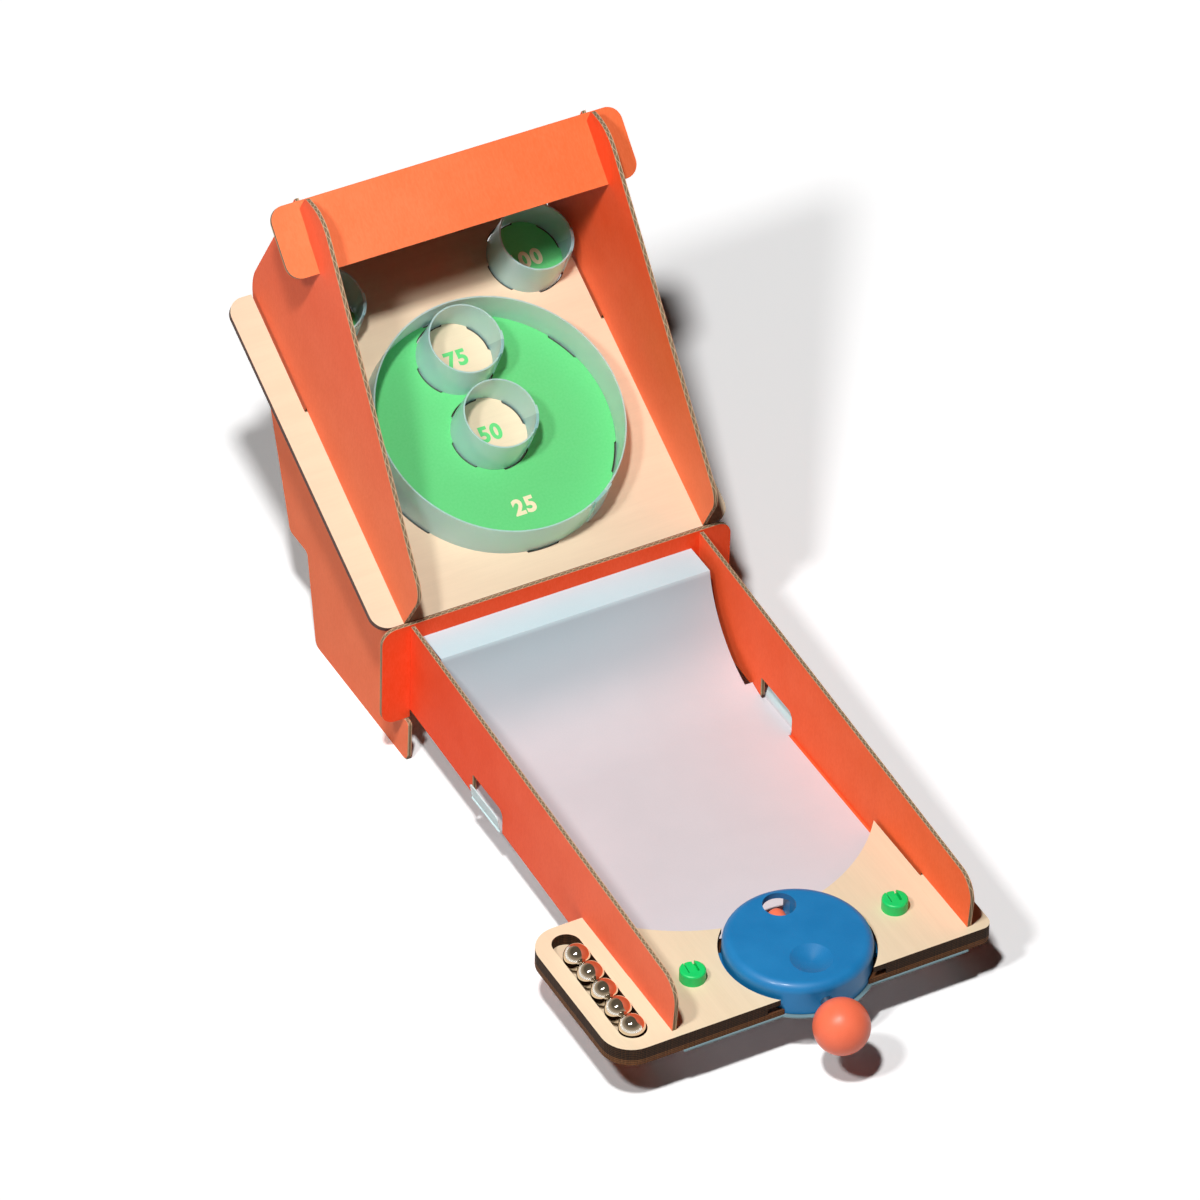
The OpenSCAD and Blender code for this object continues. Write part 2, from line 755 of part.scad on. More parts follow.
// Header strip between the wings, with tabs outside them
module marquee() {
    color("coral") placed() difference() {
        on_header() translate([header_shift, 0, -card_t]) linear_extrude(card_t) polygon(rounded([
            [-header_half, 0, header_r],
            [header_half, 0, header_r],
            [header_half, header_h, header_r],
            [-header_half, header_h, header_r]
        ]));
        for (side = [-1, 1]) intersection() {
            panel_slab(side, slot_slack, slot_slack);
            on_header() translate([-past / 2, -past, -past / 4])
                cube([past, past + lap_mid + slot_slack, past / 2]);
        }
    }
}

// Round block with a rounded top edge
module puck(r, h, round) {
    rotate_extrude() {
        square([r - round, h]);
        square([r, h - round]);
        translate([r - round, h - round]) intersection() {
            circle(round);
            square(round);
        }
    }
}

// Passage along the shot, open downwards
module shot_passage(d, y0, y1) {
    along_shot(d, y0, y1);
    translate([-d / 2, y0, 0]) cube([d, y1 - y0, plunger_z]);
}

// Turning cap: loading hole, rear mouth, spring chamber and two lugs that the deck traps
module launcher_cap() {
    dome_r = (pow(dimple_d / 2, 2) + pow(dimple_depth, 2)) / (2 * dimple_depth);
    lug_z = deck_z + ply_t + run_gap;
    color("royalblue") placed() on_launcher() difference() {
        union() {
            translate([0, 0, cap_base]) puck(cap_r, cap_top - cap_base, cap_round);
            for (turn = [0, 180])
                translate([0, 0, lug_z]) rotate([0, 0, turn - lug_span / 2])
                    rotate_extrude(angle = lug_span)
                        translate([base_r, 0]) square([lug_r - base_r, ply_t - 2 * run_gap]);
        }
        translate([0, load_y, 0]) cylinder(d = load_d, h = past);
        translate([-ball_d / 2 - mouth_slack, load_y, 0])
            cube([ball_d + 2 * mouth_slack, past, lane_z + ball_d + mouth_slack]);
        shot_passage(chamber_d, -chamber_y, load_y);
        along_shot(rod_d + 2 * rod_slack, -past, 0);
        translate([0, 0, cap_base - 1]) cylinder(r = base_r + slot_slack, h = base_t + 1);
        translate([0, -dimple_y, cap_top + dome_r - dimple_depth]) sphere(dome_r, $fn = 128);
    }
}

// Plate that closes the cap from below and leaves the ball on the lane floor
module launcher_base() {
    color("steelblue") placed() on_launcher() translate([0, 0, cap_base]) difference() {
        cylinder(r = base_r, h = base_t);
        translate([0, load_y, -1]) cylinder(d = load_d, h = past);
        translate([-load_d / 2, load_y, -1]) cube([load_d, past, past]);
    }
}

module plunger_rod() {
    color("burlywood") placed() on_launcher()
        along_shot(rod_d, -knob_y, striker_back + rod_seat);
}

module striker() {
    dome = striker_d / 2;
    color("coral") placed() on_launcher() translate([0, striker_back, plunger_z]) rotate([-90, 0, 0])
        difference() {
            rotate_extrude() intersection() {
                square([dome, striker_len]);
                union() {
                    square([dome, striker_len - dome]);
                    translate([0, striker_len - dome]) circle(dome);
                }
            }
            translate([0, 0, -1]) cylinder(d = rod_d, h = rod_seat + 1);
        }
}

// Spring around the rod, from the front of its chamber to the back of the striker
spring_sides = 6;
spring_rings = 12;
spring_r = (striker_d - wire_d) / 2 - 2 * spring_gap;
spring_y0 = -chamber_y + wire_d / 2 + spring_gap;
spring_y1 = striker_back - wire_d / 2 - spring_gap;
spring_n = spring_turns * spring_rings;
function spring_at(i) = let (a = 360 * i / spring_rings)
    [spring_r * cos(a), spring_y0 + (spring_y1 - spring_y0) * i / spring_n, spring_r * sin(a)];
function spring_ring(i) = let (a = 360 * i / spring_rings, c = spring_at(i)) [
    for (j = [0 : spring_sides - 1]) let (b = 360 * j / spring_sides)
        c + wire_d / 2 * [cos(b) * cos(a), sin(b), cos(b) * sin(a)]
];

module plunger_spring() {
    points = flat([for (i = [0 : spring_n]) spring_ring(i)]);
    last = spring_n * spring_sides;
    sides = [for (i = [0 : spring_n - 1], j = [0 : spring_sides - 1])
        let (a = i * spring_sides, b = a + spring_sides, k = (j + 1) % spring_sides)
        each [[a + j, a + k, b + k], [a + j, b + k, b + j]]];
    caps = [for (j = [1 : spring_sides - 2]) each [[0, j + 1, j], [last, last + j, last + j + 1]]];
    color("silver") placed() on_launcher() translate([0, 0, plunger_z])
        polyhedron(points = points, faces = concat(sides, caps));
}

module knob_ball() {
    color("coral") placed() on_launcher() difference() {
        translate([0, -knob_y, plunger_z]) sphere(d = knob_d, $fn = 128);
        along_shot(rod_d, -knob_y, 0);
    }
}

// Push-in peg: head on the deck with a channel and two slits, shank through the layers, barb below
module peg(side) {
    color("limegreen") placed() translate([side * peg_x, peg_y, 0]) difference() {
        union() {
            translate([0, 0, deck_top]) puck(peg_head_d / 2, peg_head_h, peg_round);
            translate([0, 0, under_z - peg_barb]) {
                cylinder(d = peg_d, h = deck_top - under_z + peg_barb + 1);
                cylinder(d1 = peg_d, d2 = peg_d + 2 * peg_catch, h = peg_barb);
            }
        }
        translate([0, 0, deck_top + peg_head_h]) rotate([0, 0, peg_turn]) {
            translate([-peg_channel / 2, -peg_channel / 2, -peg_channel_h])
                cube([peg_channel, peg_head_d, peg_head_h]);
            for (edge = [-1, 1])
                translate([edge * peg_channel / 2 - peg_slit / 2, -peg_channel / 2, -peg_slit_h])
                    cube([peg_slit, peg_head_d, peg_head_h]);
        }
    }
}

module left_peg() { peg(-1); }
module right_peg() { peg(1); }

// Steel ball lying in the tray, counted from the front
module steel_ball(i) {
    color("silver") placed()
        translate([-tray_x, ball_front + (i - 1) * ball_step, ball_z + ball_gap / 3]) sphere(d = ball_d);
}

left_top_deck();
right_top_deck();
left_middle_deck();
right_middle_deck();
left_bottom_deck();
right_bottom_deck();
lane_sheet();
left_lane_wall();
right_lane_wall();
cross_wall();
left_side_panel();
right_side_panel();
target_board();
marquee();
ring_25();
ring_50();
ring_75();
left_ring_100();
right_ring_100();
launcher_cap();
launcher_base();
plunger_rod();
striker();
plunger_spring();
knob_ball();
left_peg();
right_peg();
steel_ball(1);  // steel_ball_1
steel_ball(2);  // steel_ball_2
steel_ball(3);  // steel_ball_3
steel_ball(4);  // steel_ball_4
steel_ball(5);  // steel_ball_5
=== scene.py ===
# %% [markdown]
# # A cardboard roller ramp game, dressed for its picture
# The solids come from the CAD model, already in their places and in metres. This lesson
# gives each of them the finish of the real piece: printed card with corrugated edges,
# laser-cut plywood, frosted plastic, moulded plastic and polished steel. Then it adds the
# printed score numbers, the floor, the light and the camera.

# %% Load the solids
import math

import bmesh
import bpy
from mathutils import Matrix, Vector


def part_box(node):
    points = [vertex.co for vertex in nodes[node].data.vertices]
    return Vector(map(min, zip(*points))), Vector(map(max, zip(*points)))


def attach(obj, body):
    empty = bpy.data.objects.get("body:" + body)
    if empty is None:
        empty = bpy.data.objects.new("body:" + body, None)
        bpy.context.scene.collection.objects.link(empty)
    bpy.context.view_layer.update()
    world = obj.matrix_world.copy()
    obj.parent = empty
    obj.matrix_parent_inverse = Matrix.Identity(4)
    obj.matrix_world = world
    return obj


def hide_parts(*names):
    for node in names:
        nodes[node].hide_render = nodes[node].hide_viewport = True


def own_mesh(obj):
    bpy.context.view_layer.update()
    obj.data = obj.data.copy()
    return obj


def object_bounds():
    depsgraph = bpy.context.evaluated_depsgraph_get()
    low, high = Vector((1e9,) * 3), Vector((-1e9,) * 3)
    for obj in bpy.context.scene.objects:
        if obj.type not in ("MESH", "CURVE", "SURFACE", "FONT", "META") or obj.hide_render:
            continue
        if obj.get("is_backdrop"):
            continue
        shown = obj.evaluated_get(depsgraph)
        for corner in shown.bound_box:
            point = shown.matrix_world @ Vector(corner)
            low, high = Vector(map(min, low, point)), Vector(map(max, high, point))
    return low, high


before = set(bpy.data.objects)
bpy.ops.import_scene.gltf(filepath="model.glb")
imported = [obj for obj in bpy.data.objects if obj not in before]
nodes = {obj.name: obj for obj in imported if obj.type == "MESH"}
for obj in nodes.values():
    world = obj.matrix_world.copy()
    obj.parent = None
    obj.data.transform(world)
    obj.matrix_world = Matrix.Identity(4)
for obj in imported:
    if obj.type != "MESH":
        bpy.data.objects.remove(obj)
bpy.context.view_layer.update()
scene = bpy.context.scene
scene.view_settings.view_transform = "Standard"

# %% [markdown]
# ## Where things are
# Every flat piece has a frame of its own: two directions in its face and one through its
# thickness. A pattern that knows this frame can tell the printed face from the cut edge and
# can follow the flutes inside the card or the grain of the wood. The frames repeat the sizes
# of the CAD model. The middle of the lane is not the middle of the whole box, because the
# ball tray stands out on the left, so the lane's own frame is shifted first.

# %% Frames of the flat pieces
MM = 0.001
TRAY_OUT = 101.5
BOARD_FOOT, BOARD_SLOPE = (0, 246.3, 74.6), math.radians(28.2)
HEADER_MIDDLE, HEADER_SLOPE = (0, 331.3, 208.7), math.radians(45.9)
WALL_X, CROSS_Y, PANEL_Y = 72, 245, 244
CAP_Y, AIM = 25.8, math.radians(-7)
tray_low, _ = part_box("left_bottom_deck")
LANE_X = tray_low.x + TRAY_OUT * MM
DECK_Y = tray_low.y


def lane_point(x, y, z):
    """A point given in millimetres from the lane's middle, the deck's front edge and the table."""
    return Vector((LANE_X + x * MM, DECK_Y + y * MM, z * MM))


def plate_frame(point, across, up):
    """Matrix of a plate: X along the face, Y up the face, Z through the thickness."""
    depth = across.cross(up).normalized()
    frame_matrix = Matrix((across.normalized(), up.normalized(), depth)).transposed().to_4x4()
    frame_matrix.translation = point
    return frame_matrix


def sloping(angle):
    """Direction up a slope that rises away from the player."""
    return Vector((0, math.cos(angle), math.sin(angle)))


AWAY, UP, RIGHT = Vector((0, 1, 0)), Vector((0, 0, 1)), Vector((1, 0, 0))
board_frame = plate_frame(lane_point(*BOARD_FOOT), RIGHT, sloping(BOARD_SLOPE))
header_frame = plate_frame(lane_point(*HEADER_MIDDLE), RIGHT, sloping(HEADER_SLOPE))
card_frames = {
    "cross_wall": plate_frame(lane_point(0, CROSS_Y, 0), RIGHT, UP),
    "marquee": header_frame @ Matrix.Translation((0, 0, -MM)),
}
PANELS = (
    # side, name, place of the foot in millimetres, lean and turn in degrees
    (-1, "left", 74.24, 0.8, 0.0),
    (1, "right", 78.07, 3.2, 1.7),
)
for side, name, foot, lean, turned in PANELS:
    card_frames[f"{name}_lane_wall"] = plate_frame(lane_point(side * WALL_X, 0, 0), AWAY, UP)
    swing = Matrix.Rotation(math.radians(-side * turned), 3, "Z")
    tilt = Matrix.Rotation(math.radians(-side * lean), 3, "Y")
    pose = swing @ tilt
    middle = lane_point(side * foot, PANEL_Y, 0) + pose @ Vector((side * MM, 0, 0))
    card_frames[f"{name}_side_panel"] = plate_frame(middle, pose @ AWAY, pose @ UP)
print("card plates:", sorted(card_frames))

# %% [markdown]
# ## Helpers for shader nodes
# Shader graphs are easier to read as formulas. These helpers add one node each and hand back
# its output, so that a pattern can be written as ordinary nested calls. Colours are given as
# the numbers a picture editor shows, and are turned into the linear values that light uses.

# %% Node helpers
def shade(red, green, blue):
    """A colour of 0 to 255 as Blender's linear values."""
    channels = [v / 255 for v in (red, green, blue)]
    return tuple(v / 12.92 if v <= 0.04045 else ((v + 0.055) / 1.055) ** 2.4 for v in channels) + (1.0,)


def plug(tree, socket, value):
    """Sets an input to a plain value, or links another node's output to it."""
    if isinstance(value, bpy.types.NodeSocket):
        tree.links.new(value, socket)
    else:
        socket.default_value = value


def calc(tree, operation, *values):
    """One Math node."""
    node = tree.nodes.new("ShaderNodeMath")
    node.operation = operation
    for socket, value in zip(node.inputs, values):
        plug(tree, socket, value)
    return node.outputs[0]


def step(tree, value, low, high):
    """Runs smoothly from 0 at low to 1 at high."""
    node = tree.nodes.new("ShaderNodeMapRange")
    node.interpolation_type = "SMOOTHSTEP"
    plug(tree, node.inputs["Value"], value)
    plug(tree, node.inputs["From Min"], low)
    plug(tree, node.inputs["From Max"], high)
    return node.outputs["Result"]


def spread(tree, value, low, high):
    """Turns a pattern of 0 to 1 into one from low to high."""
    node = tree.nodes.new("ShaderNodeMapRange")
    plug(tree, node.inputs["Value"], value)
    plug(tree, node.inputs["To Min"], low)
    plug(tree, node.inputs["To Max"], high)
    return node.outputs["Result"]


def tint(tree, mask, first, second):
    """Colour that goes from first to second as the mask goes from 0 to 1."""
    node = tree.nodes.new("ShaderNodeMix")
    node.data_type = "RGBA"
    plug(tree, node.inputs[0], mask)
    plug(tree, node.inputs[6], first)
    plug(tree, node.inputs[7], second)
    return node.outputs[2]


def parts_of(tree, vector):
    """The X, Y and Z of a vector."""
    node = tree.nodes.new("ShaderNodeSeparateXYZ")
    plug(tree, node.inputs[0], vector)
    return node.outputs


def stretched(tree, vector, scale):
    """A vector scaled by a different factor along each axis."""
    node = tree.nodes.new("ShaderNodeVectorMath")
    node.operation = "MULTIPLY"
    plug(tree, node.inputs[0], vector)
    node.inputs[1].default_value = scale
    return node.outputs[0]


def speckle(tree, vector, scale, detail=2.0):
    """Noise of 0 to 1 with features of about 1 / scale."""
    node = tree.nodes.new("ShaderNodeTexNoise")
    plug(tree, node.inputs["Vector"], vector)
    node.inputs["Scale"].default_value = scale
    node.inputs["Detail"].default_value = detail
    return node.outputs["Fac"]


def new_group(name, inputs, outputs):
    """An empty node group with named sockets, given as (name, kind) pairs."""
    group = bpy.data.node_groups.new(name, "ShaderNodeTree")
    for socket_name, kind in inputs:
        group.interface.new_socket(name=socket_name, in_out="INPUT", socket_type=kind)
    for socket_name, kind in outputs:
        group.interface.new_socket(name=socket_name, in_out="OUTPUT", socket_type=kind)
    entry = group.nodes.new("NodeGroupInput")
    leave = group.nodes.new("NodeGroupOutput")
    return group, entry.outputs, leave.inputs


NUMBER, PLACE, PAINT = "NodeSocketFloat", "NodeSocketVector", "NodeSocketColor"
SURFACE = [("Color", PAINT), ("Roughness", NUMBER), ("Height", NUMBER)]
print("node helpers ready")

# %% [markdown]
# ## Telling face from edge
# The same card is printed on its faces and bare where the knife went through. Which one a
# point lies on follows from its normal: along the plate's thickness on a face, across it on
# an edge. A Mapping node turned like the plate gives the point's place in the plate's frame.

# %% A material with a plate's own coordinates
def plate_material(name, frame_matrix):
    """New material with its shader, the place in the plate's frame, and a mask for the cut edge."""
    material = bpy.data.materials.new(name)
    material.use_nodes = True
    tree = material.node_tree
    shader = tree.nodes["Principled BSDF"]
    spot = tree.nodes.new("ShaderNodeTexCoord")
    mapping = tree.nodes.new("ShaderNodeMapping")
    mapping.vector_type = "TEXTURE"
    mapping.inputs["Location"].default_value = frame_matrix.translation
    mapping.inputs["Rotation"].default_value = frame_matrix.to_euler()
    tree.links.new(spot.outputs["Object"], mapping.inputs["Vector"])
    along = tree.nodes.new("ShaderNodeVectorMath")
    along.operation = "DOT_PRODUCT"
    tree.links.new(spot.outputs["Normal"], along.inputs[0])
    along.inputs[1].default_value = frame_matrix.col[2].to_3d()
    facing = calc(tree, "ABSOLUTE", along.outputs["Value"])
    edge = calc(tree, "LESS_THAN", facing, 0.6)
    return material, tree, shader, mapping.outputs["Vector"], edge


def use_group(tree, group, **values):
    """Places a node group and sets its inputs by name."""
    node = tree.nodes.new("ShaderNodeGroup")
    node.node_tree = group
    for name, value in values.items():
        plug(tree, node.inputs[name], value)
    return node.outputs


def finish_surface(tree, shader, surface, depth):
    """Joins a group's colour, roughness and height to the shader; depth is the relief in metres."""
    tree.links.new(surface["Color"], shader.inputs["Base Color"])
    tree.links.new(surface["Roughness"], shader.inputs["Roughness"])
    bump = tree.nodes.new("ShaderNodeBump")
    bump.inputs["Strength"].default_value = 1.0
    bump.inputs["Distance"].default_value = depth
    tree.links.new(surface["Height"], bump.inputs["Height"])
    tree.links.new(bump.outputs["Normal"], shader.inputs["Normal"])


def dress(material, *names):
    """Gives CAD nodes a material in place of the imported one."""
    for name in names:
        mesh = nodes[name].data
        mesh.materials.clear()
        mesh.materials.append(material)


# %% [markdown]
# ## Printed corrugated card
# The walls, panels and header are two-millimetre card. The faces carry a matte ink that
# shows the paper's fibres and, very faintly, the flutes underneath. The cut edge shows two
# thin liners with a wavy sheet between them, with painted shade in the open flutes. A sine
# wave along the face and a distance through the thickness draw that wave exactly, and the
# flutes run upwards, so edges that run along a flute show plain lines instead. Each piece
# fades between two inks, with painted light at the paler end and painted shade at the darker.

# %% Group for printed card
card_group, inlet, outlet = new_group(
    "printed_card", [("Place", PLACE), ("Edge", NUMBER), ("Ink", PAINT)], SURFACE
)
FLUTE, CARD = 3.1 * MM, 2 * MM
g = card_group
x, _, z = parts_of(g, inlet["Place"])
flute = calc(g, "SINE", calc(g, "MULTIPLY", x, 2 * math.pi / FLUTE))
through = calc(g, "MULTIPLY", z, 1 / CARD)
wave_gap = calc(g, "ABSOLUTE", calc(g, "SUBTRACT", through, calc(g, "MULTIPLY", flute, 0.27)))
medium = calc(g, "SUBTRACT", 1.0, step(g, wave_gap, 0.07, 0.13))
depth_share = calc(g, "ABSOLUTE", through)
liner = step(g, depth_share, 0.33, 0.37)
ink_rim = step(g, depth_share, 0.455, 0.48)
fibre = speckle(g, stretched(g, inlet["Place"], (1.0, 0.35, 1.0)), 1500, 3.0)
cloud = speckle(g, inlet["Place"], 45, 2.0)
worn = calc(g, "ADD", calc(g, "MULTIPLY", fibre, 0.6), calc(g, "MULTIPLY", cloud, 0.4))
darker = tint(g, 0.1, inlet["Ink"], shade(170, 50, 20))
lighter = tint(g, 0.05, inlet["Ink"], shade(255, 205, 170))
face = tint(g, step(g, worn, 0.3, 0.72), darker, lighter)
paper = tint(g, fibre, shade(186, 160, 126), shade(218, 194, 158))
# painted shade in the open flutes between the liners
hollow_shade = tint(g, fibre, shade(112, 90, 66), shade(146, 120, 92))
solid = calc(g, "MAXIMUM", liner, medium)
inside = tint(g, solid, hollow_shade, paper)
cut = tint(g, ink_rim, inside, darker)
plug(g, outlet["Color"], tint(g, inlet["Edge"], face, cut))
dryness = calc(g, "MULTIPLY", calc(g, "ADD", fibre, inlet["Edge"]), 0.16)
plug(g, outlet["Roughness"], calc(g, "ADD", 0.62, dryness))
washboard = calc(g, "MULTIPLY", flute, 0.1)
face_relief = calc(g, "ADD", calc(g, "MULTIPLY", fibre, 0.25), washboard)
edge_relief = calc(g, "MULTIPLY", calc(g, "MULTIPLY", solid, inlet["Edge"]), 3.0)
plug(g, outlet["Height"], calc(g, "ADD", face_relief, edge_relief))
print("group:", card_group.name)

# %% [markdown]
# ## Ink on each card piece
# A point lies on the cut edge if its normal lies in the plate and if it is no further from the
# plate's middle than about half the card's thickness. Each piece names its two inks, whose fade
# paints light and shade on it, the axis that the fade runs along and the stretch that it takes.

# %% Dress the card
ACROSS, AWAY_WALL, UP_PANEL = (0, -0.07, 0.07), (0, 0.02, 0.22), (1, 0.08, 0.2)
PAINTED_SHADE_INKS = {
    # piece: ink where it starts, ink where it ends, and the axis and stretch between them; the two inks
    # paint light and shade
    "marquee": (shade(253, 124, 72), shade(253, 114, 58), ACROSS),
    "cross_wall": (shade(250, 72, 12), shade(252, 76, 18), ACROSS),
    "left_lane_wall": (shade(255, 116, 78), shade(252, 74, 20), AWAY_WALL),
    "right_lane_wall": (shade(255, 106, 50), shade(255, 94, 42), AWAY_WALL),
    "left_side_panel": (shade(255, 126, 80), shade(255, 108, 68), UP_PANEL),
    "right_side_panel": (shade(255, 128, 78), shade(255, 84, 30), UP_PANEL),
}
for name, matrix in card_frames.items():
    material, tree, shader, place, edge = plate_material(f"printed_card_{name}", matrix)
    off_middle = calc(tree, "ABSOLUTE", parts_of(tree, place)[2])
    cut_edge = calc(tree, "MULTIPLY", edge, calc(tree, "LESS_THAN", off_middle, 0.52 * CARD))
    start, end, (axis, low, high) = PAINTED_SHADE_INKS[name]
    # the fade between the two inks is painted light and shade
    ink = tint(tree, step(tree, parts_of(tree, place)[axis], low, high), start, end)
    surface = use_group(tree, card_group, Place=place, Edge=cut_edge, Ink=ink)
    finish_surface(tree, shader, surface, 0.00008)
    shader.inputs["Specular IOR Level"].default_value = 0.3
    dress(material, name)
print("card pieces dressed:", len(card_frames))

# %% [markdown]
# ## Laser-cut plywood
# The deck layers and the target board are three-millimetre birch plywood. The face is a pale
# cream with long fine grain. The laser chars the edge dark brown, with glue lines between the
# plies and fine upright streaks. The bottom layer was cut faster: its edge is a lighter brown.
# Its faces are painted dark brown, as smoke stain and as painted shade in the gaps and under
# the deck. The tray's floor is pale, with a light painted shade. The grain is noise that is
# stretched along one direction of the plate's frame.

# %% Group for plywood
ply_group, inlet, outlet = new_group(
    "laser_plywood", [("Place", PLACE), ("Edge", NUMBER), ("Smoke", NUMBER), ("Soot", NUMBER)], SURFACE
)
PLY = 1 * MM
g = ply_group
_, _, z = parts_of(g, inlet["Place"])
band = speckle(g, stretched(g, inlet["Place"], (0.06, 1.0, 1.0)), 160, 4.0)
pore = speckle(g, stretched(g, inlet["Place"], (0.05, 1.0, 1.0)), 1100, 2.0)
grain = calc(g, "ADD", calc(g, "MULTIPLY", band, 0.65), calc(g, "MULTIPLY", pore, 0.35))
pale = tint(g, step(g, grain, 0.34, 0.66), shade(230, 209, 177), shade(235, 214, 182))
clean = tint(g, calc(g, "MULTIPLY", step(g, pore, 0.66, 0.78), 0.15), pale, shade(206, 174, 132))
# dark brown face: smoke stain and painted shade
stain_and_shade = tint(g, grain, shade(72, 42, 24), shade(112, 72, 44))
face = tint(g, inlet["Soot"], clean, stain_and_shade)
ply_line = calc(g, "SINE", calc(g, "MULTIPLY", z, 2 * math.pi / PLY))
streak = speckle(g, stretched(g, inlet["Place"], (1.0, 1.0, 0.12)), 1300, 2.0)
glue = calc(g, "MULTIPLY", step(g, ply_line, 0.2, 1.0), 0.3)
char = calc(g, "ADD", calc(g, "MULTIPLY", streak, 0.7), glue)
black = tint(g, step(g, char, 0.25, 0.85), shade(28, 18, 10), shade(88, 57, 33))
brown = tint(g, step(g, char, 0.25, 0.85), shade(76, 47, 26), shade(148, 99, 60))
burnt = tint(g, inlet["Smoke"], black, brown)
plug(g, outlet["Color"], tint(g, inlet["Edge"], face, burnt))
dryness = calc(g, "MULTIPLY", calc(g, "ADD", pore, inlet["Edge"]), 0.16)
plug(g, outlet["Roughness"], calc(g, "ADD", 0.52, dryness))
furrow = calc(g, "MULTIPLY", streak, inlet["Edge"])
plug(g, outlet["Height"], calc(g, "ADD", calc(g, "MULTIPLY", pore, 0.6), furrow))
print("group:", ply_group.name)

# %% [markdown]
# ## Three deck layers
# Each piece has a material of its own, whose frame lies in the middle of its layer. The grain
# runs away from the player. Smoke stain and painted shade cover the bottom layer but for the
# stretch under the tray, which keeps only a light painted shade.

# %% Dress the deck
TRAY_EDGE = (62 * MM, 74 * MM)
deck_layers = {"bottom": 24.1, "middle": 27.1, "top": 30.1}
for layer, height in deck_layers.items():
    for side in ("left", "right"):
        name = f"{side}_{layer}_deck"
        material, tree, shader, place, edge = plate_material(
            f"plywood_{name}", plate_frame(lane_point(0, 0, height), AWAY, -RIGHT)
        )
        smoke, soot_and_shade = 0.0, 0.0
        if layer == "bottom":
            _, left, up = parts_of(tree, place)
            upper_face = calc(tree, "GREATER_THAN", up, 0.0)
            in_tray = calc(tree, "MULTIPLY", step(tree, left, *TRAY_EDGE), upper_face)
            # the tray's floor keeps 15 percent of the dark as painted shade
            mostly_clean_tray = calc(tree, "MULTIPLY", in_tray, 0.85)
            smoke, soot_and_shade = 1.0, calc(tree, "SUBTRACT", 1.0, mostly_clean_tray)
        surface = use_group(tree, ply_group, Place=place, Edge=edge, Smoke=smoke, Soot=soot_and_shade)
        finish_surface(tree, shader, surface, 0.00006)
        shader.inputs["Specular IOR Level"].default_value = 0.2
        dress(material, name)
print("deck layers dressed:", 2 * len(deck_layers))

# %% [markdown]
# ## The printed target board
# The board is the same plywood with green ink on it: one large disc inside the big ring, left
# bare under the two inner rings, and two small discs under the corner rings. Circles need no
# picture: the distance from a centre, in the board's own frame, gives each disc a crisp edge.
# The rims of the slots that hold the rings' tabs are dark, as laser char and as painted shade
# in the open slots. A cosine of the angle round a ring's centre tells where its tabs are.

# %% Circles and slots on the board
BIG, UPPER, CORNER = (0, 72), (0, 110.3), (52, 146.6)
LEFT_CORNER = (-CORNER[0], CORNER[1])
BIG_R, SMALL_R, STRIP, RING_TAB = 58.4, 17.9, 0.8, 14.6
BIG_DISC, SMALL_DISC, INK_BLUR = 58.0, 17.5, 0.08
RIM_IN, RIM_OUT, SLOT_SLACK = 1.0, 1.3, 0.3
RING_SLOTS = [(BIG, BIG_R, 6, 30)]
for centre in (BIG, UPPER, CORNER, LEFT_CORNER):
    RING_SLOTS.append((centre, SMALL_R, 4, 22))


def disc(tree, place, centre, radius):
    """Mask that is 1 inside a circle on the board."""
    shifted = tree.nodes.new("ShaderNodeVectorMath")
    shifted.operation = "DISTANCE"
    flat = stretched(tree, place, (1.0, 1.0, 0.0))
    plug(tree, shifted.inputs[0], flat)
    shifted.inputs[1].default_value = (centre[0] * MM, centre[1] * MM, 0)
    inner, outer = (radius - INK_BLUR) * MM, (radius + INK_BLUR) * MM
    return calc(tree, "SUBTRACT", 1.0, step(tree, shifted.outputs["Value"], inner, outer))


def slot_rims(tree, place, centre, radius, tabs, first):
    """Mask of the rims along the slots that hold a ring's tabs, painted dark as char and shade."""
    shift = tree.nodes.new("ShaderNodeVectorMath")
    shift.operation = "SUBTRACT"
    plug(tree, shift.inputs[0], stretched(tree, place, (1.0, 1.0, 0.0)))
    shift.inputs[1].default_value = (centre[0] * MM, centre[1] * MM, 0)
    x, y, _ = parts_of(tree, shift.outputs[0])
    length = tree.nodes.new("ShaderNodeVectorMath")
    length.operation = "LENGTH"
    plug(tree, length.inputs[0], shift.outputs[0])
    from_slot = calc(tree, "SUBTRACT", length.outputs["Value"], (radius - STRIP / 2) * MM)
    off_slot = calc(tree, "ABSOLUTE", from_slot)
    beside = calc(tree, "SUBTRACT", 1.0, step(tree, off_slot, RIM_IN * MM, RIM_OUT * MM))
    angle = calc(tree, "SUBTRACT", calc(tree, "ARCTAN2", y, x), math.radians(first))
    tab_wave = calc(tree, "COSINE", calc(tree, "MULTIPLY", angle, tabs))
    half_slot = tabs * (RING_TAB / 2 + SLOT_SLACK) / radius
    return calc(tree, "MULTIPLY", beside, calc(tree, "GREATER_THAN", tab_wave, math.cos(half_slot)))


print("ring slots:", sum(tabs for _, _, tabs, _ in RING_SLOTS))

# %% [markdown]
# ## Ink, scorch and slot shade on the board
# The masks are combined on the board's upper face only. Wood, then ink, then scorch and
# painted slot shade are laid over each other, and the ink adds a little height and gloss.

